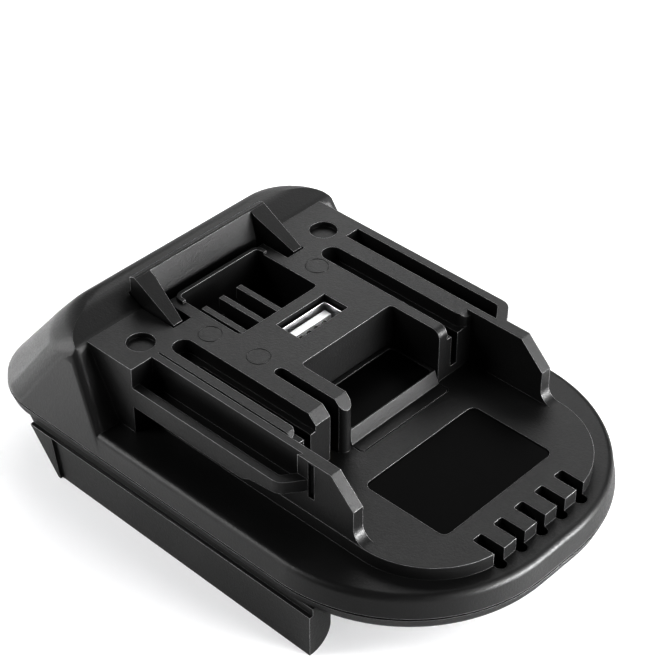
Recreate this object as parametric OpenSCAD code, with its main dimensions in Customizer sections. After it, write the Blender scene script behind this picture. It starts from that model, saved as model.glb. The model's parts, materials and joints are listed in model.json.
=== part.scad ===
// Tool battery adapter: its top slides into a tool's foot, a battery pack slides in below.
// Frame: X across, Y lengthwise (latch end +Y, rounded nose -Y), Z up, skirts stand on z = 0.

/* [Body] */
// Width of the body where the two shells meet
body_w = 80; // [78:0.5:90]
// Length of the body where the two shells meet
body_l = 123; // [121:0.5:130]
// Corner radius of the rounded nose
nose_r = 35; // [24:0.5:37]
// Corner radius at the latch end
tail_r = 15; // [12:0.5:20]
// Height of the skirts that hold the battery pack
skirt_h = 10.8; // [9:0.1:14]
// Height of the lower shell's rim
rim_h = 3.4; // [3:0.1:6]
// Inward lean of the rim from the joint down to its lower edge
rim_lean = 1.1; // [0.6:0.1:1.4]
// Rounding of the rim's lower edge
rim_r = 2.2; // [1:0.1:2.6]
// Height from the joint of the shells to the flange's floor
flange_h = 5.1; // [4.5:0.1:8]
// Inward lean of the upper shell's sides, mm per mm of height
draft = 0.13; // [0.05:0.01:0.2]
// Rounding of the flange's upper edge
crest_r = 1.6; // [0.8:0.1:2.4]
// Wall thickness of the shells
wall = 2.2; // [1.8:0.1:2.4]
// Clearance between pieces that fit together
fit = 0.15; // [0.1:0.05:0.25]
// Clearance around pieces that move
run = 0.35; // [0.3:0.05:0.6]

/* [Tool deck] */
// Height of the deck above the flange's floor
deck_rise = 15.9; // [15:0.1:18]
// Half the width across the two rails and the rear block
rail_x = 33.3; // [32:0.1:34]
// Thickness of each rail's outer wall
rail_wall = 1.9; // [1.5:0.1:2.4]
// Half the width of the deck between the rail channels
deck_x = 27.8; // [27:0.1:28.4]
// Half the width of the core below the deck
core_x = 28.7; // [28.5:0.1:30]
// Depth of the rail channels below the deck
channel_d = 7.1; // [6:0.1:8]
// Height of the open low rail above the channel's floor
low_rail_h = 2.5; // [1.5:0.1:4]
// Height of the rails' outer wall below the channel's floor
rail_foot = 2.3; // [1.5:0.1:3]
// Front end of the rails
rail_front = -20; // [-24:0.5:-16]
// Length of the slanted front of the rails
rail_nose = 3.2; // [2:0.1:4]
// Front face of the rear block, where the rails begin
block_front = 19.7; // [18:0.1:20]
// Crease where the deck meets the hump
deck_back = 32.3; // [31.5:0.1:33]
// Diameter of the two blind dimples
dimple_d = 5.9; // [4:0.1:7]
// Distance between the dimples' centres
dimple_span = 52.2; // [48:0.1:54]
// Distance of the dimples from the crease
dimple_y = 7.6; // [6:0.1:8.5]

/* [Ears and plateau] */
// Thickness of the two ears
ear_t = 2.6; // [2:0.1:3]
// Front end of the ears at deck height
ear_front = -29; // [-32:0.5:-26]
// Length and drop of the ears' sloping front
ear_slope = 5.7; // [4:0.1:7]
// Height of the plateau above the flange's floor
plateau_h = 3; // [2.5:0.1:4]
// Distance of the plateau's front edge from the nose
plateau_front = 5.6; // [4.6:0.1:7]
// Corner radius of the plateau
plateau_r = 19; // [12:0.5:22]
// Number of vent slots in the nose
vent_n = 5; // [3:2:5]
// Distance between vent slots
vent_pitch = 6; // [5:0.1:6.5]
// Width of a vent slot
vent_w = 2.5; // [1.5:0.1:3]
// Rear end of the vent slots, behind the plateau's front edge
vent_back = 5.6; // [4:0.1:7]
// How far the vent slots run on over the flange
vent_run = 1.5; // [1:0.1:2.2]
// Width of the front label
label_w = 32; // [26:0.5:36]
// Length of the front label
label_l = 20.2; // [16:0.1:21]
// Distance of the label from the plateau's front edge
label_gap = 9.9; // [8:0.1:11]
// Thickness of the labels
label_t = 0.35; // [0.2:0.05:0.5]

/* [Terminals of the deck] */
// Distance between the two terminal trenches
trench_span = 42.6; // [40:0.1:44]
// Width of a terminal trench
trench_w = 4.6; // [4:0.1:5]
// Depth of a trench's shelf below the deck
trench_d = 3.3; // [2.8:0.1:4]
// Rear end of the trenches
trench_back = 19.8; // [18:0.1:20.5]
// Width of the slot in a trench's shelf
blade_slot = 1.8; // [1.6:0.1:2.2]
// Rear end of the slot in a trench's shelf
blade_back = 14; // [12:0.1:16]
// Front end of the deck's arms
arm_front = -16; // [-17:0.1:-14]
// Centre of the short signal slot
signal_x = -13.8; // [-14.2:0.1:-13.4]
// Width of the short signal slot
signal_w = 2.4; // [2:0.1:2.6]

/* [Windows and pocket] */
// Width of the vent window in front of the latch
window_w = 22.2; // [20:0.1:23]
// Front edge of the vent window
window_front = 12.2; // [12:0.1:13]
// Rear edge of the vent window
window_back = 29.6; // [27:0.1:30]
// Length of the ribs in the vent window
rib_l = 11.8; // [8:0.1:13]
// Thickness of a rib
rib_t = 1.4; // [1:0.1:2]
// Distance between ribs
rib_pitch = 4.9; // [4.5:0.1:5.2]
// Centre of the USB port across the body
usb_x = 3.1; // [2:0.1:4]
// Centre of the USB port along the body
usb_y = 6; // [5.4:0.1:6.6]
// Left wall of the front pocket
pocket_left = -9.4; // [-9.8:0.1:-9]
// Right wall of the front pocket
pocket_right = 16.6; // [16:0.1:17]
// Rear wall of the front pocket
pocket_back = -2.9; // [-3.4:0.1:-2.6]
// Height of the pocket insert's block above the plateau
insert_h = 3.1; // [2:0.1:4]

/* [Hump and latch] */
// Rise of the hump per mm behind the crease
hump_slope = 0.48; // [0.4:0.02:0.55]
// Length of the hump's rising face
hump_l = 4.8; // [4.4:0.1:7]
// Forward lean of the ramps beside the rear block
ramp_lean = 8; // [6:0.1:9]
// Half the width of the release latch
latch_x = 18.3; // [17.5:0.1:18.8]
// Height of the latch above the deck
latch_h = 6.4; // [5:0.1:7]
// Rear face of the latch, behind the crease
latch_back = 3.7; // [3:0.1:4.5]
// Length of the latch's cheeks
cheek_l = 12.4; // [11:0.1:13]
// Thickness of a cheek at its foot
cheek_t = 2.4; // [2:0.1:3]
// Travel of the latch
latch_travel = 5; // [4:0.1:5.5]

/* [Battery side] */
// Thickness of the skirts
skirt_t = 5.7; // [4.8:0.1:6.2]
// Inset of the skirts from the rim
skirt_in = 0.3; // [0:0.1:0.8]
// Width of the ledge along the top of the skirts
ledge_w = 0.9; // [0.5:0.1:1.4]
// Front end of the skirts
skirt_front = -34.1; // [-36:0.1:-30]
// Rear end of the skirts at the bottom
skirt_back = 37.9; // [34:0.1:40]
// Height of the groove for the battery's rails
groove_h = 3.2; // [2.5:0.1:4]
// Depth of that groove
groove_d = 2.2; // [1.5:0.1:2.8]
// Height of the groove above the bottom of the skirts
groove_z = 4.6; // [4:0.1:5]
// Distance between the battery blades
blade_pitch = 9; // [8:0.5:10]
// Thickness of a blade
blade_t = 0.8; // [0.6:0.1:1]

/* [Hidden] */
$fn = 64;
eps = 0.02;
half_w = body_w / 2;
nose = -body_l / 2;
tail = body_l / 2;
z_ledge = skirt_h;
z_joint = z_ledge + rim_h;
z_floor = z_joint + flange_h;
z_plateau = z_floor + plateau_h;
z_deck = z_floor + deck_rise;
z_plate = z_ledge + wall;
z_channel = z_deck - channel_d;
z_low_rail = z_channel + low_rail_h;
z_rail_foot = z_channel - rail_foot;
z_latch = z_deck + latch_h;
latch_rear = deck_back + latch_back;
cheek_front = latch_rear - cheek_l;
trench_x = trench_span / 2;
z_shelf = z_deck - trench_d;
shelf_t = 1.2;
sill_t = 0.9;
sill_h = 0.6;
window_d = 11;
// First rib's distance from the window's side, and the ribs' tops and depths below the deck
rib_in = 1.5;
rib_sink = 0.2;
rib_d = [3, 9];
trench_wall = 1.4;
trench_in = trench_x - trench_w / 2;
trench_out = trench_x + trench_w / 2;
ear_in = core_x - ear_t;
roof = z_deck - wall;
insert_l = 16.5;
insert_front = pocket_back - insert_l;
block_l = 12.6;
block_face = pocket_back - block_l;
block_lean = 1.2;
reveal = 0.3;
lip_t = 1.2;
lip_h = 1.6;
front_edge = nose + plateau_front;
// Corner radii of the pocket and the window, and the rounded and sloping fronts of the deck's arms
pocket_r = 1;
window_r = 1;
arm_r = 2;
arm_slope = 2;
strip_slope = 1;
tip_slope = 2.4;
// Groove along the -X strip of the deck
groove_line = 0.35;
shoulder_r = 6;
hump_r = 6;
// Corner radius of the hump at its top, and the roundings of the ramps beside the rear block
crown_r = 12;
ramp_r = 2;
brow_r = 4;
hump_a = atan(hump_slope);
ramp_a = atan2(z_deck - z_floor, ramp_lean);
// Centre of the hump's round top, which is tangent to its rising face
top_c = [deck_back + hump_l, z_deck + hump_slope * hump_l] + hump_r * [sin(hump_a), -cos(hump_a)];
// The tail's foot, and the angle at which the round top meets the tail's slope
foot = [tail, z_joint + 1.5];
tail_a = atan2(foot[1] - top_c[1], foot[0] - top_c[0]) + acos(hump_r / norm(foot - top_c));
z_top = top_c[1] + hump_r;
z_board = z_plate + 2.6;
board_t = 1.6;
z_solder = z_board + board_t;
usb_w = 13.1;
usb_d = 5.7;
usb_wall = 0.35;
usb_gap = 0.4;
usb_sink = 1.3;
z_usb = z_deck - usb_sink;
tongue_w = 11.4;
tongue_t = 1.84;
tongue_back = 0.55;
tongue_sink = 1.4;
contact_w = 1;
contact_t = 0.25;
contact_x = [-3.5, -1, 1, 3.5];
tongue_foot = 4;
// Converter's parts: side or radius, height, and place from the port and the board's rear edge
inductor_w = 10;
inductor_h = 5;
inductor_at = [-12, -8];
capacitor_r = 3.1;
capacitor_h = 5;
capacitor_x = [1, 9];
capacitor_y = -7.5;
chip_w = [5, 6];
chip_h = 1.6;
chip_at = [-11, 2];
label_sink = 0.25;
panel_x = 14.2;
pad_x = 13;
z_pad = z_joint + 10;
pad_h = 7;
pad_sink = 0.2;
shield_t = 1.2;
z_bridge = z_pad + 2;
bridge_t = 3;
spring_x = 11;
spring_y = latch_rear + 4.5;
spring_r = 2.6;
spring_wire = 0.6;
spring_turns = 5;
z_seat = z_plate + 2.4;
spring_h = z_bridge - z_seat;
screw_at = [[half_w - 11, tail - 18], [half_w - 20, nose + 17.5]];
screw_r = 1.2;
screw_bite = 4.6;
boss_r = 3.4;
head_r = 2.5;
head_h = 1.6;
skirt_out = half_w - skirt_in;
skirt_inner = skirt_out - skirt_t;
skirt_rake = 9;
ledge_drop = 0.9;
z_strip = z_ledge - ledge_drop;
panel_d = 0.6;
rail_tip_r = 3;
nose_wall = 2.2;
slit_w = 1.5;
slit_h = 8.4;
lead_l = 7.4;
lead_h = 1.1;
clip_w = 3.6;
clip_y = [arm_front + 6, blade_back - 2];
holder_in = trench_x - clip_w / 2 - 0.3;
board_x = ear_in - 1.6;
board_y = [arm_front - 3, deck_back - 3.3];
post_x = ear_in - 10.1;
post_y = [arm_front, deck_back - 7.3];
post_r = 2.4;
peg_r = 1.1;
dock_x = 17;
dock_y = [-12, -3];
blade_z = [4, 8.6];
blade_y = dock_y + [3, 10];
riser_l = 3;
plastic = "#2b2b2d";
inner_plastic = "#3a3a3c";
steel = "#c8c9cc";
brass = "#c9a350";
copper = "#b87345";
label_black = "#0a0a0a";

// Points of an arc about (x, y) from angle a0 to a1
function arc(x, y, r, a0, a1, n = 8) =
    [for (i = [0:n]) let (a = a0 + (a1 - a0) * i / n) [x + r * cos(a), y + r * sin(a)]];

// The two ends of a length w about c
function span(c, w) = [c - w / 2, c + w / 2];

// Box between two corners
module box(x, y, z) {
    translate([x[0], y[0], z[0]])
        cube([x[1] - x[0], y[1] - y[0], z[1] - z[0]]);
}

// The same child on both sides
module pair() {
    children();
    mirror([1, 0, 0]) children();
}

// A profile drawn in Y and Z, drawn out across x
module across(x) {
    translate([x[0], 0, 0]) rotate([90, 0, 90]) linear_extrude(x[1] - x[0]) children();
}

// A profile drawn in X and Z, drawn out along y
module along(y) {
    translate([0, y[1], 0]) rotate([90, 0, 0]) linear_extrude(y[1] - y[0]) children();
}

// A rectangle with its own corner radii
module plate2d(x, y, r) {
    translate([x[0] + r, y[0]]) square([x[1] - x[0] - 2 * r, y[1] - y[0]]);
    translate([x[0], y[0] + r]) square([x[1] - x[0], y[1] - y[0] - 2 * r]);
    for (cx = [x[0] + r, x[1] - r], cy = [y[0] + r, y[1] - r])
        translate([cx, cy]) circle(r);
}

// A straight cut with round ends, along Y
module slot2d(x, y, w) {
    translate([x - w / 2, y[0] + w / 2]) square([w, y[1] - y[0] - w]);
    for (cy = [y[0] + w / 2, y[1] - w / 2])
        translate([x, cy]) circle(w / 2);
}

// Outline of the body where the shells meet, drawn in by an inset
module outline(inset = 0) {
    side = half_w - inset;
    translate([-side, nose + nose_r]) square([2 * side, body_l - nose_r - tail_r]);
    translate([nose_r - half_w, nose + inset]) square([body_w - 2 * nose_r, body_l / 2]);
    translate([tail_r - half_w, 0]) square([body_w - 2 * tail_r, tail - inset]);
    for (s = [-1, 1]) {
        translate([s * (half_w - nose_r), nose + nose_r]) circle(nose_r - inset);
        translate([s * (half_w - tail_r), tail - tail_r]) circle(tail_r - inset);
    }
}

// Solid round the body's outline. Each point of its edge is an inset from the outline and a height,
// from low to high
module rounded_body(edge, rear) {
    low = edge[0][1];
    high = edge[len(edge) - 1][1];
    function section(r) = concat([[0, high], [0, low]], [for (e = edge) [r - e[0], e[1]]]);
    pair() {
        translate([half_w - nose_r, nose + nose_r, 0]) rotate_extrude() polygon(section(nose_r));
        along([nose + nose_r, tail - tail_r]) polygon(section(half_w));
        if (rear) translate([half_w - tail_r, tail - tail_r, 0])
            rotate_extrude() polygon(section(tail_r));
    }
    across([nose_r - half_w, half_w - nose_r])
        polygon([for (p = section(nose_r)) [nose + nose_r - p[0], p[1]]]);
    if (rear) across([tail_r - half_w, half_w - tail_r])
        polygon([for (p = section(tail_r)) [tail - tail_r + p[0], p[1]]]);
}

// The flange's edge, with its draft and its round crest
module flange() {
    middle = draft * flange_h + crest_r;
    rounded_body(concat([[0, z_joint]], [for (p = arc(0, z_floor - crest_r, crest_r, 0, 90))
                                             [middle - p[0], p[1]]]), false);
}

// The lower shell's edge, which leans in to a round lower edge
module rim_body() {
    lean = atan(rim_lean / rim_h);
    middle = (rim_r + (rim_h - rim_r) * sin(lean)) / cos(lean);
    rounded_body(concat([for (p = arc(0, z_ledge + rim_r, rim_r, -90, -lean)) [middle - p[0], p[1]]],
                        [[0, z_joint]]), true);
}

// Side view of the hump, drawn in by t: its lead-in points, round top and sloping tail
function hump_side(t, lead, low) =
    let (p = top_c + (hump_r - t) * [cos(tail_a), sin(tail_a)],
         y = p[0] + (p[1] - foot[1]) * tan(tail_a))
    concat([[lead[0][0], low]], lead, arc(top_c[0], top_c[1], hump_r - t, 90 + hump_a, tail_a),
           [[y, foot[1]], [y, low]]);

// Half the hump's width at height z, with drafted sides and round shoulders
function hump_half(z) = let (k = max(0, z - z_top + shoulder_r))
    half_w - draft * (z - z_joint) - shoulder_r + sqrt(shoulder_r ^ 2 - k ^ 2);

// Round brow where the ramps turn into the hump's rising face
function brow() = let (n = [sin(ramp_a), -cos(ramp_a)], m = [sin(hump_a), -cos(hump_a)],
                       c = [deck_back, z_deck] + brow_r * (n + m) / (1 + n * m))
    arc(c[0], c[1], brow_r, 90 + ramp_a, 90 + hump_a);

// Solid through level rings of points, from low to high
module loft(rings) {
    n = len(rings[0]);
    last = len(rings) - 1;
    side = [for (i = [0:last - 1], j = [0:n - 1]) let (a = i * n + j, b = i * n + (j + 1) % n)
        each [[a, a + n, b + n], [a, b + n, b]]];
    polyhedron([for (r = rings) each r],
               concat([[for (j = [0:n - 1]) j]], side, [[for (j = [n - 1:-1:0]) last * n + j]]));
}

// Level ring of the hump at height z: its rear edge is at y, and its rear corners have radius r
function hump_ring(z, y, r) = let (w = hump_half(z))
    [for (p = concat([[w, 0]], arc(w - r, y - r, r, 0, 90, 12), arc(r - w, y - r, r, 90, 180, 12),
                     [[-w, 0]])) [p[0], p[1], z]];

// Level ring of the ramps at height z, with round front corners
function ramp_ring(z) =
    let (w = half_w - draft * (z - z_joint) + eps, x = w - ramp_r,
         y = deck_back + (z - z_deck) / tan(ramp_a) + ramp_r)
    [for (p = concat(arc(x, y, ramp_r, -90, 0), [[w, tail + 1], [-w, tail + 1]],
                     arc(-x, y, ramp_r, 180, 270))) [p[0], p[1], z]];

module hump() {
    p = top_c + hump_r * [cos(tail_a), sin(tail_a)];
    neck = z_top - shoulder_r;
    slope = [for (z = [foot[1], neck, (neck + p[1]) / 2]) let (t = (z - foot[1]) / (p[1] - foot[1]))
        hump_ring(z, foot[0] + t * (p[0] - foot[0]), tail_r + t * (crown_r - tail_r))];
    crown = [for (i = [0:4]) let (a = tail_a + (84 - tail_a) * i / 4)
        hump_ring(top_c[1] + hump_r * sin(a), top_c[0] + hump_r * cos(a), crown_r)];
    intersection() {
        loft(concat([hump_ring(z_joint, tail, tail_r)], slope, crown));
        loft([ramp_ring(z_joint - 1), ramp_ring(z_top + 1)]);
        // Brow, rising face and round top
        across([-half_w - 1, half_w + 1])
            polygon(concat([[deck_back - ramp_lean - 4, z_joint - 1]], brow(),
                           arc(top_c[0], top_c[1], hump_r, 90 + hump_a, 90),
                           [[tail + 2, z_top], [tail + 2, z_joint - 1]]));
    }
}

module hump_hollow() {
    lead = [[block_front, roof], [deck_back + wall * tan(hump_a / 2), roof]];
    intersection() {
        translate([0, 0, z_joint - 1]) linear_extrude(z_top) outline(wall);
        across([-ear_in, ear_in]) polygon(hump_side(wall, lead, z_joint - 1));
    }
}

// The two side walls of the core, which rise to the deck and end in the ears
module ears() {
    pair() across([ear_in, core_x])
        polygon([[block_front + 1, z_floor - 1], [block_front + 1, z_deck], [ear_front, z_deck],
                 [ear_front - ear_slope, z_deck - ear_slope], [ear_front - ear_slope, z_floor - 1]]);
    // Fillets at the feet of the ears
    pair() across([ear_in, core_x]) difference() {
        translate([ear_front - ear_slope - 3, z_floor]) square([3 + eps, plateau_h + 3]);
        translate([ear_front - ear_slope - 3, z_plateau + 3]) circle(3);
    }
}

// Plan of a rail: its front slants in to the core, and their corner is rounded
module rail2d(side, front, r) {
    a = atan2(rail_nose, rail_x - core_x) - 90;
    slant = rail_nose / (rail_x - core_x);
    polygon(concat([[ear_in, block_front + 1], [side, block_front + 1]],
                   arc(side - r, front + r * tan(-a / 2), r, 0, a),
                   [[ear_in, front - slant * (side - ear_in)]]));
}

// Channel between a rail and the deck, which ends in a slanted front as the rail does
module channel_cut() {
    slant = atan2(rail_nose, rail_x - core_x);
    front = rail_front - rail_wall * tan(slant) + nose_wall / cos(slant);
    translate([0, 0, z_channel]) linear_extrude(z_deck) intersection() {
        rail2d(rail_x - rail_wall, front, rail_tip_r / 2);
        translate([deck_x, front - rail_x]) square([rail_x, rail_x + block_front - front]);
    }
}

// A rail with its channel: top is the height of its outer wall
module rail(top) {
    difference() {
        translate([0, 0, z_rail_foot]) linear_extrude(top - z_rail_foot)
            rail2d(rail_x, rail_front, rail_tip_r);
        channel_cut();
        // Lead-in under the front of the rail
        across([core_x, rail_x + 1]) polygon([
            [rail_front + lead_l + 2.4, z_rail_foot - 1], [rail_front + lead_l + 2.4, z_rail_foot],
            [rail_front + lead_l, z_rail_foot + lead_h], [rail_front, z_rail_foot + 1.8 * lead_h],
            [rail_front - 2 * rail_nose, z_rail_foot + 1.8 * lead_h],
            [rail_front - 2 * rail_nose, z_rail_foot - 1]]);
    }
}

module plateau(inset, low, top) {
    translate([0, 0, low]) linear_extrude(top - low) {
        x = core_x + 0.1 - inset;
        r = plateau_r - inset;
        front = front_edge + inset;
        translate([-x, front + r]) square([2 * x, -front - r]);
        translate([r - x, front]) square([2 * (x - r), r]);
        for (s = [-1, 1]) translate([s * (x - r), front + r]) circle(r);
    }
}

// Deck, rear block and the walls that hang from the deck's arms
module deck() {
    box([-rail_x, rail_x], [block_front, deck_back + 1], [z_floor - 1, z_deck]);
    box([-core_x, core_x], [arm_front, block_front + 1], [z_plateau - wall, z_deck]);
    // Round tip of the thin arm beside the signal slot
    arm = [signal_x + signal_w / 2, pocket_left];
    translate([(arm[0] + arm[1]) / 2, arm_front + 0.5, z_plateau - wall])
        cylinder(d = arm[1] - arm[0], h = z_deck - z_plateau + wall);
}

// Plan of the front pocket, drawn in by an inset
module pocket2d(inset, front) {
    plate2d([pocket_left + inset, pocket_right - inset], [front + inset, pocket_back - inset],
            pocket_r - inset);
}

// Openings between the arms in front of the deck: pocket, signal slot and terminal mouths
module arm_cuts() {
    translate([0, 0, z_plateau]) linear_extrude(z_deck) pocket2d(0, arm_front - 20);
    // Rounded front edge of the arm on the pocket's other side
    across([pocket_right - 1, trench_in + 1]) difference() {
        translate([arm_front - 1, z_deck - arm_r]) square([arm_r + 1, arm_r + 1]);
        translate([arm_front + arm_r, z_deck - arm_r]) circle(arm_r);
    }
    translate([0, 0, z_plateau]) linear_extrude(z_deck)
        slot2d(signal_x, [arm_front - 9, pocket_back + 2.4], signal_w);
    box(span(signal_x, signal_w), [arm_front + 1.5, pocket_back], [z_joint, z_deck]);
    // Sloping fronts of the wide arm, of the thin arm's tip and of the strips beside the trenches
    slope_cut([-trench_in - 1, signal_x], arm_front, arm_slope);
    slope_cut([signal_x, pocket_left + 1], arm_front - tip_slope / 2, tip_slope);
    pair() slope_cut([trench_out - 1, ear_in], arm_front, strip_slope);
    // Round corner of the strips at the mouths of the trenches
    pair() translate([0, 0, z_shelf]) linear_extrude(z_deck) difference() {
        translate([trench_out - 1, arm_front - 1]) square([arm_r + 1, arm_r + 1]);
        translate([trench_out + arm_r, arm_front + arm_r]) circle(arm_r);
    }
    box([-ear_in, groove_line - ear_in], [arm_front - 1, block_front], [z_deck - groove_line, z_deck + 1]);
}

// Slope of 45 degrees cut from a front edge at y = front, over a length l
module slope_cut(x, front, l) {
    across(x) polygon([[front - 1, z_deck + 1], [front + l, z_deck + 1],
                       [front + l, z_deck], [front - 1, z_deck - l - 1]]);
}

// One terminal trench: a trough under the deck with a shelf and a slot for the tool's blade
module trench_trough() {
    w = trench_wall;
    box([trench_in - w, trench_out + w], [pocket_back, trench_back + w], [z_shelf - shelf_t, roof + 1]);
    box([trench_in - w, ear_in + 1], [arm_front, arm_front + w], [z_plateau - wall, z_shelf]);
}

module trench_cut() {
    translate([0, 0, z_shelf]) linear_extrude(trench_d + 1)
        slot2d(trench_x, [arm_front - 9, trench_back], trench_w);
    translate([0, 0, z_plateau + 2]) linear_extrude(z_deck)
        slot2d(trench_x, [arm_front - 9, blade_back], blade_slot);
}

// Closed well below the vent window
module window_well() {
    w = trench_wall;
    box(span(0, window_w + 2 * w), [window_front - w, window_back + sill_t],
        [z_deck - window_d - w, roof + 1]);
}

// Plan of the vent window, drawn out by a margin
module window2d(margin) {
    plate2d(span(0, window_w + 2 * margin), [window_front - margin, window_back + margin],
            window_r + margin);
}

module window_cut() {
    translate([0, 0, z_deck - window_d]) linear_extrude(window_d + 1) window2d(0);
}

module window_ribs() {
    left = -window_w / 2 + rib_in;
    top = z_deck - rib_sink;
    for (i = [0:2])
        across(span(left + i * rib_pitch, rib_t))
            polygon([[window_front - 1, top], [window_front + rib_l, top],
                     [window_front + rib_l, z_deck - rib_d[0]], [window_front - 1, z_deck - rib_d[1]]]);
    // Raised sill between the window and the latch, which turns round the window's corners
    translate([0, 0, roof]) linear_extrude(wall + sill_h) intersection() {
        difference() {
            window2d(sill_t);
            window2d(0);
        }
        translate([-half_w, window_back - 2 * window_r]) square([body_w, body_l]);
    }
}

// Room for the latch: its bar, its cheeks and its thumb pad
module latch_cut() {
    box(span(0, 2 * (latch_x + run)), [window_back + sill_t, latch_rear + run], [z_bridge, z_latch]);
    pair() box([panel_x - run, latch_x + run], [cheek_front - run, latch_rear], [z_bridge, z_latch]);
    box([-pad_x - run, pad_x + run], [latch_rear + 6, tail + 1],
        [z_pad - latch_travel - run, z_pad + pad_h + run]);
}

// Vent slot with a square rear end and a round front end
module vent2d(x) {
    y = front_edge - vent_run + vent_w / 2;
    plate2d(span(x, vent_w), [y - vent_w / 4, front_edge + vent_back], vent_w / 5);
    translate([x, y]) circle(vent_w / 2);
}

// Thin slit in the -X wall of the core, in front of its rail
module wall_slit() {
    y = rail_front - rail_nose - 1.6;
    box([-core_x - 1, -core_x + 0.8], [y, y + slit_w], [z_deck - slit_h - 0.4, z_deck - 0.4]);
}

module screw_bosses() {
    pair() {
        at = screw_at[0];
        translate([at[0], at[1], z_joint]) cylinder(r = boss_r, h = flange_h + 2);
        front = screw_at[1];
        translate([front[0], front[1], z_joint]) cylinder(r = boss_r, h = z_plateau - z_joint - 1);
    }
}

module screw_pilots() {
    pair() for (p = screw_at)
        translate([p[0], p[1], z_joint - 1]) cylinder(r = screw_r + 0.05, h = screw_bite + 1.8);
}

module upper_housing() {
    color(plastic) difference() {
        union() {
            difference() {
                union() {
                    flange();
                    hump();
                    plateau(0, z_floor - 1, z_plateau);
                    ears();
                    deck();
                }
                // Hollow under the flange, the plateau, the deck and the hump
                translate([0, 0, z_joint - 1]) linear_extrude(flange_h - wall + 1) outline(wall);
                plateau(wall, z_joint, z_plateau - wall);
                box([-ear_in, ear_in], [pocket_back + wall, block_front + 1], [z_joint - 1, roof]);
                hump_hollow();
                pair() box([trench_in, ear_in], [arm_front + 1, pocket_back + wall + 1],
                           [z_joint - 1, z_shelf - shelf_t]);
                pair() channel_cut();
                arm_cuts();
                window_cut();
            }
            rail(z_deck);
            mirror([1, 0, 0]) rail(z_low_rail);
            pair() trench_trough();
            difference() {
                window_well();
                window_cut();
            }
            window_ribs();
            screw_bosses();
        }
        pair() trench_cut();
        latch_cut();
        screw_pilots();
        // Port, insert opening, vent slots, dimples, label recess and the gap at the joint
        box(span(usb_x, usb_w + 2 * usb_gap), span(usb_y, usb_d + 2 * usb_gap), [roof - 1, z_deck + 1]);
        translate([0, 0, z_joint]) linear_extrude(z_plateau + 1 - z_joint) pocket2d(0, insert_front);
        for (i = [0:vent_n - 1])
            translate([0, 0, z_joint]) linear_extrude(z_plateau)
                vent2d((i - (vent_n - 1) / 2) * vent_pitch);
        wall_slit();
        for (s = [-1, 1]) translate([s * dimple_span / 2, deck_back - dimple_y, z_deck - 1.2])
            cylinder(d = dimple_d, h = 2);
        translate([0, 0, z_plateau - label_sink - label_t]) linear_extrude(1) label2d(0);
        translate([0, 0, z_joint]) linear_extrude(reveal) difference() {
            square([2 * body_w, 2 * body_l], center = true);
            outline(0.8);
        }
    }
}

module label2d(inset) {
    y = front_edge + label_gap;
    plate2d([inset - label_w / 2, label_w / 2 - inset], [y + inset, y + label_l - inset], 1.6);
}

module front_label() {
    color(label_black) translate([0, 0, z_plateau - label_sink - label_t])
        linear_extrude(label_t) label2d(fit);
}

// Skirt that holds the battery, with its rail groove and recessed outer panel
module skirt() {
    bottom_r = skirt_t - 0.7;
    groove_x = skirt_inner + groove_d;
    top = z_ledge + ledge_w;
    difference() {
        intersection() {
            across([skirt_inner, skirt_out])
                polygon([[skirt_front, 0], [skirt_back, 0], [skirt_back + skirt_rake, top],
                         [skirt_front, top]]);
            // Section with a round inner edge at the bottom and a ledge along the top
            along([skirt_front - 1, tail]) union() {
                translate([skirt_inner, bottom_r]) square([skirt_t - ledge_w, top - bottom_r]);
                translate([skirt_inner + bottom_r, 0]) square([skirt_t - bottom_r, z_strip]);
                translate([skirt_inner, bottom_r]) square([skirt_t, z_strip - bottom_r]);
                translate([skirt_inner + bottom_r, bottom_r]) circle(bottom_r);
            }
        }
        box([skirt_inner - 1, groove_x], [skirt_front + 4, tail], [groove_z, groove_z + groove_h]);
        // Outer panel that sinks in towards the latch end
        intersection() {
            translate([0, 0, -1]) linear_extrude(z_strip + 1)
                polygon([[skirt_out, skirt_front], [skirt_out + 1, skirt_front],
                         [skirt_out + 1, tail], [skirt_out - panel_d, skirt_back]]);
            across([skirt_inner, skirt_out + 1])
                polygon([[skirt_front, -1], [skirt_back - 0.8, -1],
                         [skirt_back + skirt_rake / 8, z_strip], [skirt_front, z_strip]]);
        }
    }
}

module lower_housing() {
    color(plastic) difference() {
        union() {
            difference() {
                rim_body();
                translate([0, 0, z_plate]) linear_extrude(rim_h) outline(wall + fit + lip_t);
            }
            translate([0, 0, z_joint - 1]) linear_extrude(lip_h + 1) difference() {
                outline(wall + fit);
                outline(wall + fit + lip_t);
            }
            pair() skirt();
            pair() for (p = screw_at)
                translate([p[0], p[1], z_ledge]) cylinder(r = boss_r + 0.8, h = rim_h);
            // Board posts with their pegs, and the seats of the latch springs
            for (p = board_posts()) translate([p[0], p[1], z_plate - 1]) {
                cylinder(r = post_r, h = z_board - z_plate + 1);
                cylinder(r = peg_r, h = z_board - z_plate + board_t + 1);
            }
            pair() translate([spring_x, spring_y, z_plate - 1]) {
                cylinder(r = spring_r + 1, h = z_seat - z_plate + 1);
                cylinder(r = spring_r - spring_wire - 0.3, h = z_seat - z_plate + 3.5);
            }
        }
        pair() for (p = screw_at) translate([p[0], p[1], z_ledge - 1]) {
            cylinder(r = head_r + 0.2, h = head_h + 1.2);
            cylinder(r = screw_r + 0.05, h = 12);
        }
        box([-dock_x - fit, dock_x + fit], dock_y + fit * [-1, 1], [z_ledge - 1, z_plate + 1]);
    }
}

function board_posts() = [for (x = [-post_x, post_x], y = post_y) [x, y]];

module circuit_board() {
    color("#1f5c3a") difference() {
        translate([0, 0, z_board]) linear_extrude(board_t) plate2d([-board_x, board_x], board_y, 2);
        for (p = board_posts()) translate([p[0], p[1], z_board - 1]) cylinder(r = peg_r + fit, h = 4);
    }
}

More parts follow.
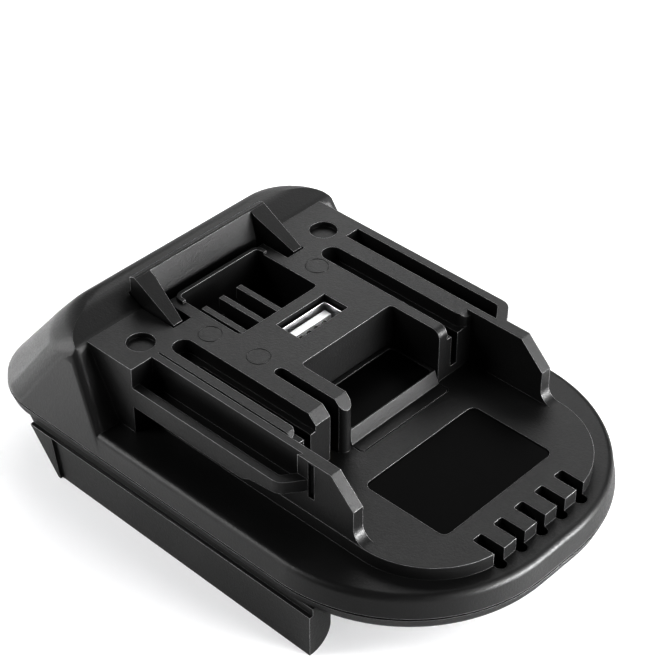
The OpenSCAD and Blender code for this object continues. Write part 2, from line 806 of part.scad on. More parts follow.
// Height at which the latch's stops meet the hump's roof
function stop_z(y) = roof + hump_slope * (y - deck_back - wall * tan(hump_a / 2)) - fit;

module release_latch() {
    stop_y = [latch_rear + run + 0.3, latch_rear + run + 1.6];
    foot_in = latch_x - cheek_t;
    bar_front = deck_back + 0.7;
    color(plastic) difference() {
        union() {
            // Cheeks: wide at the bar, narrow at the foot, with a ramp on top
            pair() intersection() {
                translate([0, 0, z_bridge]) linear_extrude(z_latch)
                    polygon([[latch_x, cheek_front], [latch_x, latch_rear], [panel_x, latch_rear],
                             [panel_x, bar_front], [foot_in, cheek_front]]);
                across([0, latch_x]) polygon([[cheek_front, z_bridge], [cheek_front, z_deck + 0.2],
                    [latch_rear - 1.2, z_latch], [latch_rear, z_latch - 0.5], [latch_rear, z_bridge]]);
            }
            // Bar with its leaning front panel
            across([-latch_x, latch_x]) polygon([[bar_front, z_bridge], [bar_front, z_deck],
                [latch_rear - 1.6, z_latch - 0.2], [latch_rear - 1.2, z_latch],
                [latch_rear, z_latch - 0.5], [latch_rear, z_bridge]]);
            // Stops that bear against the hump's roof from below
            pair() across([latch_x - 4, latch_x - 1]) polygon([[stop_y[0], z_bridge],
                [stop_y[0], stop_z(stop_y[0])], [stop_y[1], stop_z(stop_y[1])], [stop_y[1], z_bridge]]);
            // Bridge to the thumb pad
            box([-latch_x + 1, latch_x - 1], [bar_front, spring_y + 4], [z_bridge, z_bridge + bridge_t]);
            box([-pad_x, pad_x], [spring_y + 1, spring_y + 6.5], [z_pad, z_pad + pad_h]);
            // Shield that hangs behind the opening below the pad
            shield_y = spring_y + spring_r + 1.9;
            box([-pad_x, pad_x], [shield_y, shield_y + shield_t], [z_pad - latch_travel + 0.5, z_pad + 1]);
            across([-pad_x, pad_x]) intersection() {
                translate([spring_y + 6, z_pad]) square([20, pad_h]);
                polygon(hump_side(pad_sink, [[deck_back, z_deck]], z_joint));
            }
        }
        // Pockets for the springs' upper ends
        pair() translate([spring_x, spring_y, z_pad - 1])
            cylinder(r = spring_r + 0.3, h = z_bridge - z_pad + 2.3);
    }
}

// A coil spring as one tube about Z; its least gap between turns is printed
function coil(i, n) = let (a = 360 * spring_turns * i / n)
    [(spring_r - spring_wire / 2) * cos(a), (spring_r - spring_wire / 2) * sin(a),
     spring_wire / 2 + (spring_h + 1 - spring_wire) * i / n];
module spring(steps = 90, sides = 8) {
    rise = atan((spring_h + 1) / (PI * 2 * spring_r * spring_turns));
    ring = [for (i = [0:steps], j = [0:sides - 1])
        let (a = 360 * spring_turns * i / steps, b = 360 * j / sides,
             r = spring_wire / 2 * cos(b), u = spring_wire / 2 * sin(b))
        coil(i, steps) + [r * cos(a) + u * sin(rise) * sin(a),
                          r * sin(a) - u * sin(rise) * cos(a), u * cos(rise)]];
    side = [for (i = [0:steps - 1], j = [0:sides - 1])
        [i * sides + j, i * sides + (j + 1) % sides,
         (i + 1) * sides + (j + 1) % sides, (i + 1) * sides + j]];
    ends = [[for (j = [sides - 1:-1:0]) j], [for (j = [0:sides - 1]) steps * sides + j]];
    turn = steps / spring_turns;
    gap = min([for (i = [0:steps - turn]) norm(coil(i + turn, steps) - coil(i, steps))]) - spring_wire;
    echo(spring_gap = gap);
    polyhedron(ring, concat(side, ends));
}

module latch_spring(s) {
    color(steel) translate([s * spring_x, spring_y, z_seat]) spring();
}
module latch_spring_left() { latch_spring(-1); }
module latch_spring_right() { latch_spring(1); }

// Moulded insert that closes the pocket's floor, with a raised block
module pocket_insert() {
    x = [pocket_left + fit, pocket_right - fit];
    top = z_plateau + insert_h;
    color(plastic) difference() {
        union() {
            translate([0, 0, z_plateau - wall]) linear_extrude(wall) pocket2d(fit, insert_front);
            intersection() {
                translate([0, 0, z_plateau - 1]) linear_extrude(insert_h + 1)
                    pocket2d(fit, insert_front - 5);
                across(x) polygon([[block_face - block_lean, z_plateau - 1], [block_face, top],
                                   [pocket_back, top], [pocket_back, z_plateau - 1]]);
            }
            box([x[0] - 1, x[1] + 1], [insert_front - 1, pocket_back + 1],
                [z_plateau - wall - 1, z_plateau - wall]);
        }
        box([x[0] + 1.6, x[1] - 1.6], [block_face + block_lean, pocket_back - 1.6],
            [z_plateau - wall - 2, top - 1.7]);
        translate([0, 0, top - label_sink - label_t]) linear_extrude(1) pocket_label2d(0);
    }
}
module pocket_label2d(inset) {
    plate2d([pocket_left + 1 + inset, pocket_right - 1 - inset],
            [block_face + 0.3 + inset, pocket_back - 1.2 - inset], 1);
}
module pocket_label() {
    color(label_black) translate([0, 0, z_plateau + insert_h - label_sink - label_t])
        linear_extrude(label_t) pocket_label2d(fit);
}

// Upright USB receptacle: folded shell, moulded tongue and its four contacts
module usb_shell() {
    color(steel) translate([usb_x, usb_y, z_solder]) difference() {
        linear_extrude(z_usb - z_solder) plate2d(usb_w / 2 * [-1, 1], usb_d / 2 * [-1, 1], 0.6);
        translate([0, 0, -1]) linear_extrude(z_usb)
            plate2d((usb_w / 2 - usb_wall) * [-1, 1], (usb_d / 2 - usb_wall) * [-1, 1], 0.3);
    }
}
function tongue_y() = usb_d / 2 - usb_wall - tongue_back - tongue_t;
module usb_tongue() {
    x = usb_w / 2 - usb_wall - 0.05;
    y = usb_d / 2 - usb_wall - 0.05;
    color("white") translate([usb_x, usb_y, z_solder]) {
        linear_extrude(tongue_foot) plate2d(x * [-1, 1], y * [-1, 1], 0.3);
        box(span(0, tongue_w), [tongue_y(), tongue_y() + tongue_t],
            [tongue_foot - 1, z_usb - z_solder - tongue_sink]);
    }
}
module usb_contacts() {
    top = z_usb - z_solder - tongue_sink - contact_w;
    color(brass) translate([usb_x, usb_y, z_solder]) for (x = contact_x)
        translate([x, 0, 0]) along([tongue_y() - contact_t, tongue_y()]) {
            translate([-contact_w / 2, tongue_foot]) square([contact_w, top - tongue_foot]);
            translate([0, top]) circle(contact_w / 2);
        }
}

// Parts of the converter, set out from the board's rear edge and from the port
module power_inductor() {
    color("#4a4a4a") translate([usb_x + inductor_at[0], board_y[1] + inductor_at[1], z_solder])
        linear_extrude(inductor_h) plate2d(span(0, inductor_w), span(0, inductor_w), 1.5);
}
module filter_capacitors() {
    color("#22324a") for (x = capacitor_x) translate([usb_x + x, board_y[1] + capacitor_y, z_solder])
        cylinder(r = capacitor_r, h = capacitor_h);
}
module control_chip() {
    color("#161616") translate([usb_x + chip_at[0], usb_y + chip_at[1], z_solder])
        linear_extrude(chip_h) plate2d(span(0, chip_w[0]), span(0, chip_w[1]), 0.2);
}

// Block that carries the tool's two clips on the board
module terminal_holder() {
    back = trench_back - 2.8;
    color(inner_plastic) translate([0, 0, z_solder]) {
        pair() box(span(trench_x, clip_w + 0.6), [clip_y[0] - 2, back], [0, 3]);
        box([-holder_in - 0.1, holder_in + 0.1], [back - 3, back - 1.4], [0, 2]);
    }
}

// Spring clip that grips the tool's blade: two leaves on a foot
module clip() {
    top = z_shelf - shelf_t - 0.3;
    low = z_solder + 3;
    half = clip_w / 2;
    leaf = [[half - 0.1, low + 0.6], [0.95, top - 2], [1.25, top], [0.75, top], [0.45, top - 2],
            [half - 0.6, low + 0.6]];
    along(clip_y)
        polygon(concat([[-half, low], [half, low], [half, low + 0.6]], leaf,
                       [for (i = [5:-1:0]) [-leaf[i][0], leaf[i][1]]], [[-half, low + 0.6]]));
}
module positive_clip() { color(brass) translate([trench_x, 0, 0]) clip(); }
module negative_clip() { color(brass) translate([-trench_x, 0, 0]) clip(); }
module signal_contact() {
    color(brass) translate([signal_x, 0, 0]) {
        y = [arm_front + 2, arm_front + 6];
        box([-0.4, 0.4], y, [z_solder + 0.6, z_plateau + 2]);
        box([-0.9, 0.9], y, [z_solder, z_solder + 0.6]);
    }
}

// Block below the lower shell that carries the battery's blades
module battery_terminal_block() {
    color(inner_plastic) difference() {
        union() {
            box([-dock_x, dock_x], dock_y, [blade_z[0] - 1.6, z_plate + 0.1]);
            box([-dock_x - 1.5, dock_x + 1.5], dock_y + [-1.5, 1.5], [z_plate, z_plate + 1.2]);
        }
        for (i = [-1:1]) blade_shape(i, fit);
    }
}
module blade_shape(i, grow) {
    x = i * blade_pitch;
    w = blade_t / 2 + grow;
    box([x - w, x + w], [blade_y[0] - grow, blade_y[1]], [blade_z[0] - grow, blade_z[1] + grow]);
    box([x - w, x + w], [blade_y[0] - grow, blade_y[0] + riser_l + grow], [blade_z[0], z_board]);
}
module positive_blade() { color(copper) blade_shape(1, 0); }
module negative_blade() { color(copper) blade_shape(-1, 0); }
module signal_blade() { color(copper) blade_shape(0, 0); }

// Flat copper leads on the board, from over the blades to the clip holder
module lead() {
    translate([0, 0, z_solder]) linear_extrude(0.6)
        translate([blade_pitch - 1, dock_y[0] + 2.5]) square([holder_in - 0.1 - blade_pitch + 1, 4]);
}
module positive_lead() { color(copper) lead(); }
module negative_lead() { color(copper) mirror([1, 0, 0]) lead(); }

module housing_screws() {
    color(steel) pair() for (p = screw_at) translate([p[0], p[1], z_ledge + 0.2]) difference() {
        union() {
            cylinder(r = head_r, h = head_h);
            cylinder(r = screw_r, h = rim_h - 0.2 + screw_bite);
        }
        translate([0, 0, -1]) linear_extrude(1.8) for (a = [0, 90])
            rotate(a) square([3, 0.7], center = true);
    }
}

upper_housing();
lower_housing();
release_latch();
latch_spring_left();
latch_spring_right();
pocket_insert();
front_label();
pocket_label();
usb_shell();
usb_tongue();
usb_contacts();
circuit_board();
power_inductor();
filter_capacitors();
control_chip();
terminal_holder();
positive_clip();
negative_clip();
signal_contact();
battery_terminal_block();
positive_blade();
negative_blade();
signal_blade();
positive_lead();
negative_lead();
housing_screws();
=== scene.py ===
"""Looks of the tool battery adapter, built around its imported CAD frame."""

import json
import math

import bmesh
import bpy
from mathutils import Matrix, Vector


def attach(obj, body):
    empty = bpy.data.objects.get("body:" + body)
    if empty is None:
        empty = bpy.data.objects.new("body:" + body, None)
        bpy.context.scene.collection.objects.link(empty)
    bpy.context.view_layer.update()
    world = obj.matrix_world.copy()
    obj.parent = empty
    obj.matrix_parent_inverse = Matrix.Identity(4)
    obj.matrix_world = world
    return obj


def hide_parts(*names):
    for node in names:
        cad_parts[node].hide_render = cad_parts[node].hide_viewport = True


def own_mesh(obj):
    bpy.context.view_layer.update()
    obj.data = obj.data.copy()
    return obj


MM = 0.001

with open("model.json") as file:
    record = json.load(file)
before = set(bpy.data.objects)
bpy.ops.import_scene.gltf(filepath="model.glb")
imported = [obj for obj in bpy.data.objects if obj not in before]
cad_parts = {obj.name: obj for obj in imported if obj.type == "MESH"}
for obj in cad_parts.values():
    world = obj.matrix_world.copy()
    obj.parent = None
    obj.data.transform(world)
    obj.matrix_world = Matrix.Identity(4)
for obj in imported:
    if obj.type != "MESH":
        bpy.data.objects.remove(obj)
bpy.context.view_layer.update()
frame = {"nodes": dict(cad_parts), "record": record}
nodes = frame["nodes"]

# Camera, in the part's frame
EYE = Vector((-0.2247, -0.2126, 0.2817))
LOOK = Vector((0.568, 0.538, -0.6226))
LENS = 107.84
SENSOR = 36.0
CLIP_NEAR = 0.01
CLIP_FAR = 20

# Soft boxes: name, bearing and elevation in degrees, two sides in metres, watts
LIGHTS = (
    ("key", 21, 6, (0.4, 0.25), 14.0),
    ("key_high", 30, 32, (0.35, 0.35), 3.4),
    ("front", 0, 40, (0.3, 0.3), 0.7),
    ("left_low", 315, 15, (0.3, 0.3), 0.5),
    ("right", 95, 45, (0.3, 0.3), 1.2),
    ("far_right", 135, 42, (0.4, 0.3), 1.9),
    ("far_right_low", 135, 15, (0.3, 0.3), 0.7),
    ("rear_low", 180, 15, (0.3, 0.3), 0.65),
    ("rear_left", 228, 36, (0.3, 0.2), 2.8),
    ("rear_left_low", 225, 12, (0.3, 0.3), 2.2),
    ("rear_glow", 202, -14, (0.6, 0.25), 9.0),
)
LIGHT_REACH = 0.6
CENTRE = Vector((0, 0, 0.02))

# White ground: glow of the floor near the part and far from it, the distances between which that
# changes, the tones of the floor and of the hidden sheet, and how far the sheet lies below the floor
FLOOR_GLOW = (0.5, 1.05)
FLOOR_FADE = (0.1, 0.32)
FLOOR_TONE = 0.42
BOUNCE_TONE = 0.9
BOUNCE_DROP = 0.5 * MM
SHEET_REACH = 3.0
PAPER_ROUGH = 0.9
PRINT_GAMMA = 0.57
WHITE = (1, 1, 1, 1)

# Finishing of the mouldings' sharp edges
EDGE_ROUND = 0.3 * MM
SHEET_ROUND = 0.12 * MM
ROUND_STEPS = 3
EDGE_ANGLE = math.radians(28)
LATCH_ANGLE = math.radians(9)
WELD = 0.002 * MM
FLAT_ANGLE = math.radians(0.6)

# Latch springs
SPRING_X = 11 * MM
SPRING_Y = 40.5 * MM
SPRING_SEAT = 15.4 * MM
SPRING_TOP = 27.2 * MM
SPRING_RADIUS = 2.3 * MM
SPRING_WIRE = 0.3 * MM
SPRING_TURNS = 5.0
COIL_STEPS = 40
WIRE_SIDES = 12

# Faint rings that ejector pins leave on the deck: their places, radius, and the line's radius and depth
EJECTOR_AT = ((-14.9 * MM, 16.6 * MM), (-13.3 * MM, 4.7 * MM), (16 * MM, 16.9 * MM))
EJECTOR_RADIUS = 2.4 * MM
EJECTOR_LINE = 0.16 * MM
EJECTOR_SINK = 0.08 * MM
RING_STEPS = 48
LINE_SIDES = 10
DECK_Z = 35.2 * MM

# Noise: detail of a fine grain, of plain unevenness and of a soft cloud, and their breaking up
GRAIN_DETAIL = 4.0
PLAIN_DETAIL = 3.0
CLOUD_DETAIL = 2.0
GRAIN_BREAK = 0.6
PLAIN_BREAK = 0.55
CLOUD_SPAN = (0.3, 0.7)
COOL_TINT = 1.01

# Moulded plastic: grain, flow shading, and a painted highlight: edges painted lighter and made a little
# glossier where they stand in the open
MOULD_ROUGH = 0.44
CASING_ROUGH = 0.5
GRAIN_SIZE = 0.5 * MM
CASING_GRAIN = 0.2 * MM
GRAIN_ROUGH = 0.24
GRAIN_STRENGTH = 1.0
GRAIN_DEPTH = 0.05 * MM
FLOW_SIZE = 14 * MM
FLOW_SPAN = (0.35, 0.65)
FLOW_TONES = (0.92, 1.08)
FLOW_ROUGH = 0.06
# Painted highlight on open edges: width of the rounding it follows, span of its mask, share of the light grey,
# and the roughness it takes off
ROUNDING_AND_HIGHLIGHT_WIDTH = 0.28 * MM
HIGHLIGHT_EDGE_SPAN = (0.03, 0.3)
HIGHLIGHT_EDGE_SHARE = 0.8
HIGHLIGHT_EDGE_GLOSS = 0.1
OPEN_REACH = 0.8 * MM
OPEN_SPAN = (0.6, 0.9)
EDGE_SAMPLES = 6

# Label film. Here and below, a roughness is its level and the shares of the fine noise and the cloud,
# and a relief is its strength and its depth
FILM_RIPPLE = 6 * MM
FILM_DUST = 0.5 * MM
FILM_TONES = (0.002, 0.0035)
FILM_ROUGH = (0.24, 0.05, 0.08)
FILM_RELIEF = (0.05, 0.05 * MM)
FILM_SHEEN = 0.05

# Plated metal, with drawing lines along Z
METAL_STRETCH = (1, 1, 14)
METAL_LINES = 0.4 * MM
METAL_CLOUD = 5 * MM
METAL_DULL = 0.82
METAL_ROUGH = (-0.1, 0.16, 0.08)
METAL_RELIEF = (0.08, 0.01 * MM)

# Board lacquer
BOARD_WEAVE = 3 * MM
BOARD_WARP = 0.4
BOARD_CLOUD = 9 * MM
BOARD_TONES = ((0.006, 0.06, 0.026, 1), (0.01, 0.09, 0.04, 1))
BOARD_ROUGH = (0.24, 0.08, 0.06)
BOARD_RELIEF = (0.05, 0.02 * MM)

# White plastic of the port
PORT_CLOUD = 3 * MM
PORT_GRAIN = 0.2 * MM
PORT_TONES = ((0.88, 0.88, 0.87, 1), (0.94, 0.94, 0.94, 1))
PORT_ROUGH = (0.3, 0.1, 0.05)
PORT_RELIEF = (0.05, 0.01 * MM)


class Val:
    """A socket in a material's nodes, on which plain arithmetic adds Math nodes."""

    def __init__(self, look, socket):
        self.look = look
        self.socket = socket

    def __add__(self, other):
        return self.look.math("ADD", self, other)

    def __sub__(self, other):
        return self.look.math("SUBTRACT", self, other)

    def __rsub__(self, other):
        return self.look.math("SUBTRACT", other, self)

    def __mul__(self, other):
        return self.look.math("MULTIPLY", self, other)

    def __truediv__(self, other):
        return self.look.math("DIVIDE", self, other)

    def clamp(self):
        return self.look.math("MINIMUM", self.look.math("MAXIMUM", self, 0.0), 1.0)

    def span(self, low, high):
        """0 at low and 1 at high, clamped."""
        return ((self - low) / (high - low)).clamp()


class Look:
    """One procedural material, on Object coordinates."""

    def __init__(self, name):
        self.material = bpy.data.materials.new(name)
        self.material.use_nodes = True
        self.tree = self.material.node_tree
        self.shader = self.tree.nodes["Principled BSDF"]

    def node(self, kind, settings=None, out=0, **sockets):
        """New node. A socket is named with _ for a space, or i and its number where names repeat."""
        made = self.tree.nodes.new(kind)
        for key, value in (settings or {}).items():
            setattr(made, key, value)
        for key, value in sockets.items():
            self.feed(made, key, value)
        return Val(self, made.outputs[out])

    def feed(self, made, key, value):
        numbered = key[0] == "i" and key[1:].isdigit()
        place = made.inputs[int(key[1:]) if numbered else key.replace("_", " ")]
        if isinstance(value, Val):
            self.tree.links.new(value.socket, place)
        else:
            place.default_value = value

    def math(self, operation, a, b):
        return self.node("ShaderNodeMath", {"operation": operation}, i0=a, i1=b)

    def mix(self, factor, a, b):
        return self.node("ShaderNodeMix", {"data_type": "RGBA"}, out=2, i0=factor, i6=a, i7=b)

    def coordinates(self):
        return self.node("ShaderNodeTexCoord", out="Object")

    def noise(self, where, size, detail=PLAIN_DETAIL, rough=PLAIN_BREAK):
        return self.node("ShaderNodeTexNoise", Vector=where, Scale=1 / size, Detail=detail, Roughness=rough)

    def cloud(self, where, size):
        return self.noise(where, size, CLOUD_DETAIL)

    def bump(self, height, strength, distance, **normal):
        return self.node("ShaderNodeBump", Height=height, Strength=strength, Distance=distance, **normal)

    def set(self, **sockets):
        for key, value in sockets.items():
            self.feed(self.shader, key, value)

    def uneven(self, fine, cloud, tones, rough):
        """Colour that follows the cloud, and roughness that follows the fine noise and the cloud."""
        level, fine_share, cloud_share = rough
        self.set(Base_Color=self.mix(cloud.span(*CLOUD_SPAN), *tones))
        self.set(Roughness=fine * fine_share + cloud * cloud_share + level)


def grey(value):
    return (value, value, value * COOL_TINT, 1.0)


def moulded_plastic(name, base, highlight_grey, rough=MOULD_ROUGH, grain=GRAIN_SIZE):
    """Matte moulded plastic: spark-eroded grain, faint flow shading, and a painted highlight that lightens its
    open convex edges.
    """
    look = Look(name)
    where = look.coordinates()
    fine = look.noise(where, grain, GRAIN_DETAIL, GRAIN_BREAK)
    flow = look.cloud(where, FLOW_SIZE)
    normal = look.node("ShaderNodeBevel", {"samples": EDGE_SAMPLES}, Radius=ROUNDING_AND_HIGHLIGHT_WIDTH)
    flat = look.node("ShaderNodeNewGeometry", out="Normal")
    facing = look.node("ShaderNodeVectorMath", {"operation": "DOT_PRODUCT"}, out="Value", i0=normal, i1=flat)
    open_air = look.node("ShaderNodeAmbientOcclusion", {"samples": EDGE_SAMPLES}, out="AO", Distance=OPEN_REACH)
    # Painted highlight: convex edges in the open are mixed towards a light grey and lose a little roughness
    edge_highlight = (1.0 - facing).span(*HIGHLIGHT_EDGE_SPAN) * open_air.span(*OPEN_SPAN)
    dark, light = (grey(base * tone) for tone in FLOW_TONES)
    shade = look.mix(flow.span(*FLOW_SPAN), dark, light)
    look.set(Base_Color=look.mix(edge_highlight * HIGHLIGHT_EDGE_SHARE, shade, grey(highlight_grey)))
    level = rough - (GRAIN_ROUGH + FLOW_ROUGH) / 2
    look.set(Roughness=fine * GRAIN_ROUGH + flow * FLOW_ROUGH + level - edge_highlight * HIGHLIGHT_EDGE_GLOSS)
    look.set(Normal=look.bump(fine, GRAIN_STRENGTH, GRAIN_DEPTH, Normal=normal))
    return look.material


def printed_film(name):
    """Bare glossy black label film, very slightly uneven."""
    look = Look(name)
    where = look.coordinates()
    ripple = look.cloud(where, FILM_RIPPLE)
    dust = look.noise(where, FILM_DUST)
    look.uneven(dust, ripple, [grey(tone) for tone in FILM_TONES], FILM_ROUGH)
    look.set(Normal=look.bump(ripple, *FILM_RELIEF), Specular_IOR_Level=FILM_SHEEN)
    return look.material


def plated_metal(name, tint, rough):
    """Plated sheet metal with fine drawing lines."""
    look = Look(name)
    where = look.coordinates()
    lines = look.noise(look.node("ShaderNodeMapping", Vector=where, Scale=METAL_STRETCH), METAL_LINES)
    cloud = look.cloud(where, METAL_CLOUD)
    dull = tuple(c * METAL_DULL for c in tint)
    level, lines_share, cloud_share = METAL_ROUGH
    look.uneven(lines, cloud, (dull + (1.0,), tint + (1.0,)), (rough + level, lines_share, cloud_share))
    look.set(Normal=look.bump(lines, *METAL_RELIEF), Metallic=1.0)
    return look.material


def solder_mask(name):
    """Green board lacquer over a faint glass weave."""
    look = Look(name)
    where = look.coordinates()
    weave = look.node("ShaderNodeTexWave", {"wave_type": "BANDS", "bands_direction": "DIAGONAL"},
                      out="Fac", Vector=where, Scale=1 / BOARD_WEAVE, Distortion=BOARD_WARP)
    look.uneven(weave, look.cloud(where, BOARD_CLOUD), BOARD_TONES, BOARD_ROUGH)
    look.set(Normal=look.bump(weave, *BOARD_RELIEF))
    return look.material


def bright_plastic(name):
    """White receptacle moulding, satin."""
    look = Look(name)
    where = look.coordinates()
    fine = look.noise(where, PORT_GRAIN)
    look.uneven(fine, look.cloud(where, PORT_CLOUD), PORT_TONES, PORT_ROUGH)
    look.set(Normal=look.bump(fine, *PORT_RELIEF))
    return look.material


# The second grey given to each moulding is the painted highlight on its open edges
FINISHES = {
    "housing_black": moulded_plastic("black_moulding", base=0.012, highlight_grey=0.5),
    "inner_plastic": moulded_plastic("inner_moulding", base=0.03, highlight_grey=0.09, rough=CASING_ROUGH),
    "component_dark": moulded_plastic("component_casing", base=0.022, highlight_grey=0.08, rough=CASING_ROUGH,
                                      grain=CASING_GRAIN),
    "label_black": printed_film("label_film"),
    "steel": plated_metal("plated_steel", tint=(0.72, 0.72, 0.73), rough=0.28),
    "brass": plated_metal("plated_brass", tint=(0.78, 0.6, 0.3), rough=0.3),
    "usb_white": bright_plastic("port_white"),
    "board_green": solder_mask("board_lacquer"),
}
# The port's contacts are tinned over their brass
CONTACT_TIN = plated_metal("tinned_contacts", tint=(0.5, 0.49, 0.47), rough=0.4)
SLOT_OF = {row["node"]: row["material_slot"] for row in frame["record"]["subparts"]}


def dress(obj, slot):
    """Gives an object one finish."""
    obj.data.materials.clear()
    obj.data.materials.append(FINISHES[slot])


def link(name, data):
    """New object in the scene, at the origin."""
    obj = bpy.data.objects.new(name, data)
    bpy.context.scene.collection.objects.link(obj)
    return obj


def rounded_piece(node, body, radius=EDGE_ROUND, angle=EDGE_ANGLE):
    """A copy of a piece with its sharp edges slightly rounded, which stands for the CAD node."""
    mesh = nodes[node].data.copy()
    work = bmesh.new()
    work.from_mesh(mesh)
    bmesh.ops.remove_doubles(work, verts=work.verts, dist=WELD)
    bmesh.ops.dissolve_limit(work, angle_limit=FLAT_ANGLE, verts=work.verts, edges=work.edges)
    work.to_mesh(mesh)
    work.free()
    if "custom_normal" in mesh.attributes:
        mesh.attributes.remove(mesh.attributes["custom_normal"])
    mesh.shade_smooth()
    mesh.set_sharp_from_angle(angle=angle)
    obj = link(node + "_finish", mesh)
    bevel = obj.modifiers.new("edges", "BEVEL")
    bevel.width = radius
    bevel.segments = ROUND_STEPS
    bevel.limit_method = "ANGLE"
    bevel.angle_limit = EDGE_ANGLE
    bevel.use_clamp_overlap = True
    smooth = obj.modifiers.new("normals", "WEIGHTED_NORMAL")
    smooth.keep_sharp = True
    dress(obj, SLOT_OF[node])
    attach(obj, body)
    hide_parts(node)


class Shaper:
    """A Geometry Nodes tree; its sizes and its finish are named inputs."""

    def __init__(self, name, sizes):
        self.tree = bpy.data.node_groups.new(name, "GeometryNodeTree")
        self.keys = {}
        self.socket("Geometry", "NodeSocketGeometry")
        for size in sizes:
            self.socket(size, "NodeSocketFloat")
        self.socket("Finish", "NodeSocketMaterial")
        self.socket("Geometry", "NodeSocketGeometry", "OUTPUT")
        self.given = self.tree.nodes.new("NodeGroupInput").outputs

    def socket(self, name, kind, side="INPUT"):
        made = self.tree.interface.new_socket(name, in_out=side, socket_type=kind)
        self.keys[side, name] = made.identifier

    def node(self, kind, **inputs):
        """New node; an input is another node's output or a plain value. Returns its first output."""
        made = self.tree.nodes.new(kind)
        for key, value in inputs.items():
            place = made.inputs[key.replace("_", " ")]
            if isinstance(value, bpy.types.NodeSocket):
                self.tree.links.new(value, place)
            else:
                place.default_value = value
        return next(iter(made.outputs), None)

    def wire(self, path, radius, sides, caps):
        """Round wire along a path."""
        section = self.node("GeometryNodeCurvePrimitiveCircle", Resolution=sides, Radius=radius)
        return self.node("GeometryNodeCurveToMesh", Curve=path, Profile_Curve=section, Fill_Caps=caps)

    def close(self, shape):
        """Ends the tree in plain geometry that has the finish."""
        real = self.node("GeometryNodeRealizeInstances", Geometry=shape)
        painted = self.node("GeometryNodeSetMaterial", Geometry=real, Material=self.given["Finish"])
        self.node("NodeGroupOutput", Geometry=painted)

    def mesh(self, name, points=(), **values):
        """Runs the tree on a set of points and returns its result as a plain mesh."""
        seed = bpy.data.meshes.new(name + "_seed")
        seed.from_pydata(list(points), [], [])
        holder = link(name + "_nodes", seed)
        modifier = holder.modifiers.new("nodes", "NODES")
        modifier.node_group = self.tree
        for key, value in values.items():
            modifier[self.keys["INPUT", key]] = value
        depsgraph = bpy.context.evaluated_depsgraph_get()
        mesh = bpy.data.meshes.new_from_object(holder.evaluated_get(depsgraph))
        bpy.data.objects.remove(holder)
        mesh.shade_smooth()
        return mesh


def latch_springs():
    """The two return springs of the latch, wound at their rest length."""
    coil = Shaper("coil_spring", ("Turns", "Radius", "Height", "Wire"))
    given = coil.given
    path = coil.node("GeometryNodeCurveSpiral", Resolution=COIL_STEPS, Rotations=given["Turns"],
                     Start_Radius=given["Radius"], End_Radius=given["Radius"], Height=given["Height"])
    coil.close(coil.wire(path, given["Wire"], WIRE_SIDES, True))
    length = SPRING_TOP - SPRING_SEAT
    for side, x in (("left", -SPRING_X), ("right", SPRING_X)):
        node = "latch_spring_" + side
        mesh = coil.mesh(node, Turns=SPRING_TURNS, Radius=SPRING_RADIUS, Height=length - 2 * SPRING_WIRE,
                         Wire=SPRING_WIRE, Finish=FINISHES["steel"])
        for vertex in mesh.vertices:
            vertex.co += Vector((x, SPRING_Y, SPRING_SEAT + SPRING_WIRE))
        obj = link(node + "_wound", mesh)
        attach(obj, "adapter")
        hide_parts(node)
        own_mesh(obj)


def ejector_marks():
    """Ring marks on the deck, sunk so that only a thin line stands proud."""
    rings = Shaper("ejector_rings", ("Radius", "Line"))
    given = rings.given
    path = rings.node("GeometryNodeCurvePrimitiveCircle", Resolution=RING_STEPS, Radius=given["Radius"])
    ring = rings.wire(path, given["Line"], LINE_SIDES, False)
    rings.close(rings.node("GeometryNodeInstanceOnPoints", Points=given["Geometry"], Instance=ring))
    points = [(x, y, DECK_Z - EJECTOR_SINK) for x, y in EJECTOR_AT]
    mesh = rings.mesh("ejector_marks", points, Radius=EJECTOR_RADIUS, Line=EJECTOR_LINE,
                      Finish=FINISHES["housing_black"])
    obj = link("ejector_marks", mesh)
    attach(obj, "adapter")


def aim(obj, place, direction):
    """Sets a light or camera in its place and turns it."""
    obj.location = place
    obj.rotation_mode = "QUATERNION"
    obj.rotation_quaternion = direction.to_track_quat("-Z", "Y")


def area_light(name, bearing, elevation, size, power):
    """Soft box that looks at the part. Bearing 0 is in front of the nose, 90 is beside the tall rail."""
    lamp = bpy.data.lights.new(name, "AREA")
    lamp.shape = "RECTANGLE"
    lamp.size, lamp.size_y = size
    lamp.energy = power
    a, b = math.radians(bearing), math.radians(elevation)
    away = Vector((math.sin(a) * math.cos(b), -math.cos(a) * math.cos(b), math.sin(b)))
    aim(link(name, lamp), CENTRE + away * LIGHT_REACH, -away)


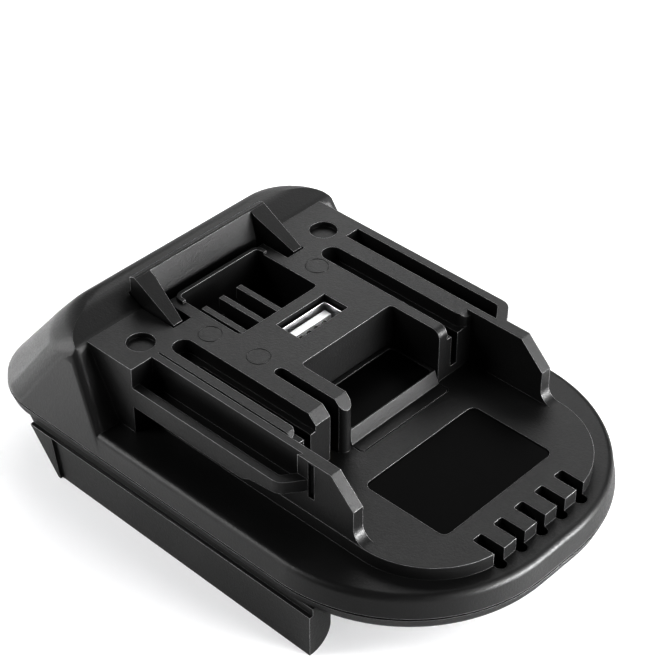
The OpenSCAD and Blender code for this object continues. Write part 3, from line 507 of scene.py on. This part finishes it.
def white_sheet(name, height, tone):
    """Large sheet of white paper, and its look."""
    mesh = bpy.data.meshes.new(name)
    corners = ((-1, -1), (1, -1), (1, 1), (-1, 1))
    mesh.from_pydata([(x * SHEET_REACH, y * SHEET_REACH, height) for x, y in corners], [], [(0, 1, 2, 3)])
    sheet = link(name, mesh)
    paper = Look(name + "_paper")
    paper.set(Base_Color=(tone, tone, tone, 1), Roughness=PAPER_ROUGH, Specular_IOR_Level=0.0)
    mesh.materials.append(paper.material)
    return sheet, paper


def studio():
    """White floor, a hidden sheet below it that throws light back, soft boxes and the camera."""
    scene = bpy.context.scene
    scene.view_settings.view_transform = "Standard"
    scene.view_settings.gamma = PRINT_GAMMA
    world = bpy.data.worlds.new("studio")
    scene.world = world
    world.use_nodes = True
    world.node_tree.nodes["Background"].inputs["Color"].default_value = WHITE
    world.cycles_visibility.diffuse = world.cycles_visibility.glossy = False
    floor, paper = white_sheet("floor", 0, FLOOR_TONE)
    away = paper.node("ShaderNodeVectorMath", {"operation": "LENGTH"}, out="Value", i0=paper.coordinates())
    near, far = (grey(glow) for glow in FLOOR_GLOW)
    paper.set(Emission_Color=paper.mix(away.span(*FLOOR_FADE), near, far), Emission_Strength=1.0)
    floor.visible_diffuse = floor.visible_glossy = floor.visible_shadow = False
    bounce = white_sheet("bounce_sheet", -BOUNCE_DROP, BOUNCE_TONE)[0]
    bounce.visible_camera = bounce.visible_shadow = False
    for light in LIGHTS:
        area_light(*light)
    lens = bpy.data.cameras.new("camera")
    lens.lens, lens.sensor_width = LENS, SENSOR
    lens.clip_start, lens.clip_end = CLIP_NEAR, CLIP_FAR
    scene.camera = link("camera", lens)
    aim(scene.camera, EYE, LOOK)


for node, obj in nodes.items():
    dress(obj, SLOT_OF[node])
nodes["usb_contacts"].data.materials[0] = CONTACT_TIN
for node in ("upper_housing", "lower_housing", "pocket_insert"):
    rounded_piece(node, "adapter")
rounded_piece("release_latch", "latch", angle=LATCH_ANGLE)
rounded_piece("usb_shell", "adapter", SHEET_ROUND)
latch_springs()
ejector_marks()
studio()
